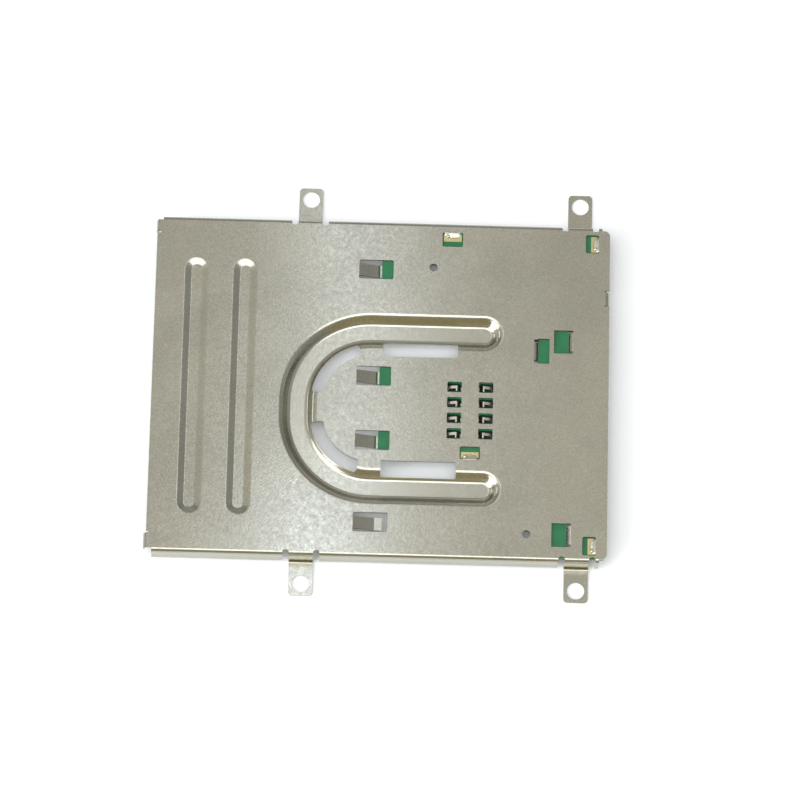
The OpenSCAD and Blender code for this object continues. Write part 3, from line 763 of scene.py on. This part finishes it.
class READER_OT_solder(bpy.types.Operator):
    """Replaces the plain solder wedges in the cover's windows with wetted joints"""

    bl_idname = "card_reader.solder"
    bl_label = "Shield solder"

    def execute(self, context):
        rng = random.Random(FILLET_SEED)
        for node, side in SOLDER_RIMS.items():
            low, high = box_mm(node)
            bm = bmesh.new()
            self.add_fillet(bm, low, high, Vector(side), rng)
            piece = new_piece(node + "_joint", bm, "bright_solder")
            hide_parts(node)
        return {"FINISHED"}

    @staticmethod
    def add_fillet(bm, low, high, side, rng):
        """Solder drawn up to the window's rim, hollow in section, with a bead left at one end."""
        along = Vector((abs(side.y), abs(side.x)))
        size = (high - low).to_2d()
        run = FILLET_RUN * abs(size.dot(side))
        half = FILLET_HALF * size.dot(along)
        rise = high.z - low.z
        rim = ((low + high) / 2).to_2d() + side * abs(size.dot(side)) / 2
        rings = []
        for k in range(FILLET_STATIONS + 1):
            t = 2 * k / FILLET_STATIONS - 1
            fullness = max(FILLET_END, 1 - abs(t) ** 3) ** 0.5
            reach = run * fullness * rng.uniform(*FILLET_WOBBLE)
            top = rim + along * t * half
            ring = [(top.x, top.y, low.z)]
            for j in range(FILLET_STEPS + 1):
                u = j / FILLET_STEPS
                out = top - side * reach * u
                ring.append((out.x, out.y, low.z + max(FILLET_LEAST, rise * (1 - u) ** 2)))
            rings.append(ring)
        add_loft(bm, rings)
        bead = rim - side * run * BEAD_OUT - along * half * BEAD_ALONG
        add_mound(bm, (bead.x, bead.y, low.z), (BEAD_WIDTH, BEAD_WIDTH), rise * BEAD_HEIGHT, square=2.0)


class READER_OT_contacts(bpy.types.Operator):
    """Finishes the carrier and its spring contacts, and solders the contact tails"""

    bl_idname = "card_reader.contacts"
    bl_label = "Card contacts"

    def execute(self, context):
        paint("contact_carrier", "black_moulding")
        lands = bmesh.new()
        joints = bmesh.new()
        for node in CONTACT_NODES:
            paint(node, "plated_spring")
            at, _ = contact_tail(node)
            ends = [(at.x - LAND_LEFT, at.y), (at.x + LAND_RIGHT, at.y)]
            add_layer(lands, ends, LAND_WIDTH, LAND_HEIGHT)
            add_mound(joints, (at.x, at.y, board_underside()), TAIL_SOLDER, -TAIL_SOLDER_HEIGHT)
        new_piece("contact_lands", lands, "gold_plating", smooth=False)
        new_piece("contact_solder", joints, "bright_solder")
        return {"FINISHED"}


class READER_OT_print(bpy.types.Operator):
    """Lays traces, vias and white print on the underside of the board"""

    bl_idname = "card_reader.board_print"
    bl_label = "Board print"

    def execute(self, context):
        traces = bmesh.new()
        vias = bmesh.new()
        for path in (*self.contact_paths(), *self.socket_paths(), *self.chip_paths()):
            self.add_trace(traces, vias, path)
        new_piece("board_traces", traces, "masked_copper", smooth=False)
        new_piece("board_vias", vias, "gold_plating", smooth=False)
        ink = bmesh.new()
        for node, gap in INK_GAPS.items():
            self.add_outline(ink, node, gap)
        new_piece("board_ink", ink, "board_ink", smooth=False)
        return {"FINISHED"}

    @staticmethod
    def add_trace(traces, vias, path):
        """A trace of copper from a land to a via at its far end."""
        add_layer(traces, path, looks().trace_width / MM, TRACE_HEIGHT)
        under = board_underside()
        add_ring(vias, path[-1], VIA_OUTER, VIA_INNER, under - VIA_HEIGHT, under + LAYER_ROOT)

    @staticmethod
    def contact_paths():
        """Paths outward from the contacts, each turning off a lane further out than the last."""
        lanes, start, run, lane, turn, wider = 4, 0.6, 2.6, 0.55, 0.6, 0.2
        for i, node in enumerate(CONTACT_NODES):
            at, side = contact_tail(node)
            begin = at.x + side * start
            bend = begin + side * (run + lane * (i % lanes))
            drop = turn + wider * (i % lanes)
            yield [(begin, at.y), (bend, at.y), (bend + side * drop, at.y - drop)]

    @staticmethod
    def socket_paths():
        """Paths inward from the flex socket's contacts, which spread and end in three rows."""
        count, rows, edge, start, run, row, drift = 12, 3, 0.1, 0.2, 1.0, 0.55, 0.12
        low, high = box_mm("flex_socket_contacts")
        for i in range(count):
            y = low.y + edge + (high.y - low.y - 2 * edge) * i / (count - 1)
            reach = run + row * (i % rows)
            shift = (i - (count - 1) / 2) * drift
            half = low.x - reach / 2
            far = low.x - reach - abs(shift)
            yield [(low.x + start, y), (half, y), (half - abs(shift), y + shift), (far, y + shift)]

    @staticmethod
    def chip_paths():
        """Paths from one side of the chip, which fan out and end in two rows."""
        count, rows, pitch, start, run, row, drift = 6, 2, 0.5, 0.1, 0.7, 0.5, 0.12
        low, high = box_mm("controller_chip")
        for i in range(count):
            place = i - (count - 1) / 2
            y = (low.y + high.y) / 2 + place * pitch
            reach = run + row * (i % rows)
            yield [(low.x + start, y), (low.x - reach, y + drift * place)]

    @staticmethod
    def add_outline(bm, node, gap):
        """A white frame round a component."""
        low, high = box_mm(node)
        x0, y0, x1, y1 = low.x - gap, low.y - gap, high.x + gap, high.y + gap
        corners = [(x0, y0), (x1, y0), (x1, y1), (x0, y1)]
        for pair in zip(corners, corners[1:] + corners[:1]):
            add_layer(bm, pair, INK_WIDTH, INK_HEIGHT)


class READER_OT_components(bpy.types.Operator):
    """Finishes the chip, crystal, capacitors and resistors, with their metal ends and solder"""

    bl_idname = "card_reader.components"
    bl_label = "Small components"

    def execute(self, context):
        paint("controller_chip", "chip_package")
        paint("controller_lands", "plated_spring")
        paint("clock_crystal", "crystal_lid")
        paint("capacitors", "capacitor_body")
        paint("resistors", "resistor_glaze")
        ends = bmesh.new()
        joints = bmesh.new()
        for node in ("capacitors", "resistors"):
            for low, high in self.solids(node):
                self.add_ends(ends, joints, low, high)
        new_piece("component_ends", ends, "plated_spring", smooth=False)
        new_piece("component_solder", joints, "bright_solder")
        return {"FINISHED"}

    @staticmethod
    def solids(node):
        """The boxes of a node's separate solids, in millimetres."""
        weld = 1e-7
        bm = bmesh.new()
        bm.from_mesh(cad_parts[node].data)
        bmesh.ops.remove_doubles(bm, verts=bm.verts, dist=weld)
        left = set(bm.verts)
        found = []
        while left:
            group, queue = set(), [left.pop()]
            while queue:
                vert = queue.pop()
                group.add(vert)
                for edge in vert.link_edges:
                    other = edge.other_vert(vert)
                    if other in left:
                        left.discard(other)
                        queue.append(other)
            places = [v.co / MM for v in group]
            low = Vector([min(p[axis] for p in places) for axis in range(3)])
            high = Vector([max(p[axis] for p in places) for axis in range(3)])
            found.append((low, high))
        bm.free()
        return sorted(found, key=lambda pair: tuple(pair[0]))

    @staticmethod
    def add_ends(ends, joints, low, high):
        """Metal caps and solder at both ends of a chip component."""
        size = high - low
        centre = (low + high) / 2
        lying = size.x > size.y
        length, width = (size.x, size.y) if lying else (size.y, size.x)
        middle, line = (centre.x, centre.y) if lying else (centre.y, centre.x)

        def laid(lengthwise, crosswise):
            """X and Y of a pair given along and across the component."""
            return (lengthwise, crosswise) if lying else (crosswise, lengthwise)

        for side in (-1, 1):
            tip = middle + side * (length / 2 + END_SKIN)
            cap = [laid(tip, line), laid(tip - side * END_LENGTH, line)]
            add_strip(ends, cap, width + 2 * END_SKIN, low.z - END_SKIN, high.z - END_INSET)
            foot = laid(tip + side * END_SOLDER_OUT, line)
            spread = laid(END_SOLDER_LENGTH, width + END_SOLDER_MARGIN)
            add_mound(joints, (*foot, high.z), spread, -looks().solder_height / MM)


class READER_OT_socket(bpy.types.Operator):
    """Finishes the flex socket, its latch, contacts and anchors"""

    bl_idname = "card_reader.flex_socket"
    bl_label = "Flex socket"

    def execute(self, context):
        paint("flex_socket_body", "ivory_moulding")
        paint("flex_socket_latch", "brown_latch")
        paint("flex_socket_contacts", "plated_spring")
        paint("flex_socket_anchors", "plated_spring")
        return {"FINISHED"}


class READER_OT_switch(bpy.types.Operator):
    """Finishes the card switch"""

    bl_idname = "card_reader.card_switch"
    bl_label = "Card switch"

    def execute(self, context):
        paint("card_switch_body", "black_moulding")
        paint("card_switch_leaf", "gold_plating")
        paint("card_switch_post", "gold_plating")
        return {"FINISHED"}


class READER_OT_stage(bpy.types.Operator):
    """Sets the floor, the lights, the surroundings and the camera"""

    bl_idname = "card_reader.stage"
    bl_label = "Stage"

    def execute(self, context):
        self.floor()
        for name, (at, size, power, share, colour) in LAMPS.items():
            self.softbox(name, at, size, getattr(stage(), power) * share, colour)
        self.sky()
        self.camera()
        context.scene.view_settings.view_transform = "Standard"
        return {"FINISHED"}

    @staticmethod
    def floor():
        """A pale floor with a faint glow that only the camera and mirrored rays see."""
        bm = bmesh.new()
        bmesh.ops.create_grid(bm, x_segments=1, y_segments=1, size=stage().floor_size / 2)
        mesh = bpy.data.meshes.new("floor")
        bm.to_mesh(mesh)
        bm.free()
        floor = bpy.data.objects.new("floor", mesh)
        floor.location.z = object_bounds()[0][2] - FLOOR_GAP
        bpy.context.scene.collection.objects.link(floor)
        f = Finish("pale_floor")
        f.set(Base_Color=FLOOR_TONE, Roughness=0.8)
        rays = f.node("ShaderNodeLightPath").outputs
        seen = f.reckon("MAXIMUM", rays["Is Camera Ray"], rays["Is Glossy Ray"])
        strength = f.reckon("MULTIPLY", seen, FLOOR_GLOW)
        glow = f.node("ShaderNodeEmission", Color=(1, 1, 1, 1), Strength=strength)
        both = f.node("ShaderNodeAddShader")
        f.feed(both.inputs[0], f.surface.outputs["BSDF"])
        f.feed(both.inputs[1], glow.outputs["Emission"])
        f.feed(f.output.inputs["Surface"], both.outputs["Shader"])
        mesh.materials.append(f.material)
        floor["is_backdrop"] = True

    @staticmethod
    def softbox(name, at, size, power, colour):
        """A rectangular light that faces the origin, its second side along Y."""
        data = bpy.data.lights.new(name, "AREA")
        data.shape = "RECTANGLE"
        data.size, data.size_y = size
        data.energy = power
        data.color = colour
        lamp = bpy.data.objects.new(name, data)
        away = Vector(at).normalized()
        across = Vector((0, 1, 0)).cross(away).normalized()
        turn = Matrix((across, away.cross(across), away)).transposed().to_4x4()
        turn.translation = at
        lamp.matrix_world = turn
        bpy.context.scene.collection.objects.link(lamp)

    @staticmethod
    def sky():
        """Surroundings that are warm in front, pale overhead and dim before the pale rear horizon."""
        world = bpy.data.worlds.new("surroundings")
        world.use_nodes = True
        w = Nodes(world.node_tree)
        way = w.node("ShaderNodeTexCoord").outputs["Generated"]
        split = w.node("ShaderNodeSeparateXYZ", Vector=way)
        place = w.node("ShaderNodeMapRange", Value=split.outputs["Y"], From_Min=-1.0)
        ramp = w.node("ShaderNodeValToRGB", Fac=place.outputs["Result"])
        stops = ramp.color_ramp.elements
        stops.remove(stops[1])
        stops[0].position, stops[0].color = SKY_STOPS[0][0], (*SKY_STOPS[0][1], 1)
        for at, tone in SKY_STOPS[1:]:
            stops.new(at).color = (*tone, 1)
        back = w.tree.nodes["Background"]
        w.feed(back.inputs["Color"], ramp.outputs["Color"])
        w.feed(back.inputs["Strength"], stage().sky_strength)
        bpy.context.scene.world = world

    @staticmethod
    def camera():
        """The camera, turned about the upright, tilted down and rolled."""
        east, north = math.cos(CAMERA_TURN), math.sin(CAMERA_TURN)
        flat, steep = math.cos(CAMERA_ELEVATION), math.sin(CAMERA_ELEVATION)
        right = Vector((east, north, 0))
        up = Vector((-north * steep, east * steep, flat))
        ahead = Vector((-north * flat, east * flat, -steep))
        side = right * math.cos(CAMERA_ROLL) + up * math.sin(CAMERA_ROLL)
        top = up * math.cos(CAMERA_ROLL) - right * math.sin(CAMERA_ROLL)
        data = bpy.data.cameras.new("camera")
        data.sensor_width = CAMERA_SENSOR
        data.lens = CAMERA_LENS
        data.clip_start = CAMERA_NEAREST
        camera = bpy.data.objects.new("camera", data)
        matrix = Matrix((side, top, -ahead)).transposed().to_4x4()
        matrix.translation = CAMERA_TARGET - ahead * CAMERA_DISTANCE
        camera.matrix_world = matrix
        bpy.context.scene.collection.objects.link(camera)
        bpy.context.scene.camera = camera


STEPS = (
    READER_OT_shield,
    READER_OT_board,
    READER_OT_solder,
    READER_OT_contacts,
    READER_OT_print,
    READER_OT_components,
    READER_OT_socket,
    READER_OT_switch,
    READER_OT_stage,
)


class READER_PT_panel(bpy.types.Panel):
    """Lists the steps that dress the reader"""

    bl_idname = "READER_PT_panel"
    bl_label = "Card reader board"
    bl_space_type = "VIEW_3D"
    bl_region_type = "UI"
    bl_category = "Card reader"

    def draw(self, context):
        for group in (context.scene.reader_looks, context.scene.reader_stage):
            for name in group.__annotations__:
                self.layout.prop(group, name)
        for step in STEPS:
            self.layout.operator(step.bl_idname)


CLASSES = (ReaderLooks, ReaderStage, *STEPS, READER_PT_panel)


def register():
    for cls in CLASSES:
        bpy.utils.register_class(cls)
    bpy.types.Scene.reader_looks = bpy.props.PointerProperty(type=ReaderLooks)
    bpy.types.Scene.reader_stage = bpy.props.PointerProperty(type=ReaderStage)


def unregister():
    del bpy.types.Scene.reader_looks
    del bpy.types.Scene.reader_stage
    for cls in reversed(CLASSES):
        bpy.utils.unregister_class(cls)


def main():
    """Registers the add-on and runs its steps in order."""
    register()
    bpy.ops.card_reader.shield()
    bpy.ops.card_reader.board()
    bpy.ops.card_reader.solder()
    bpy.ops.card_reader.contacts()
    bpy.ops.card_reader.board_print()
    bpy.ops.card_reader.components()
    bpy.ops.card_reader.flex_socket()
    bpy.ops.card_reader.card_switch()
    bpy.ops.card_reader.stage()


if __name__ == "__main__":
    main()
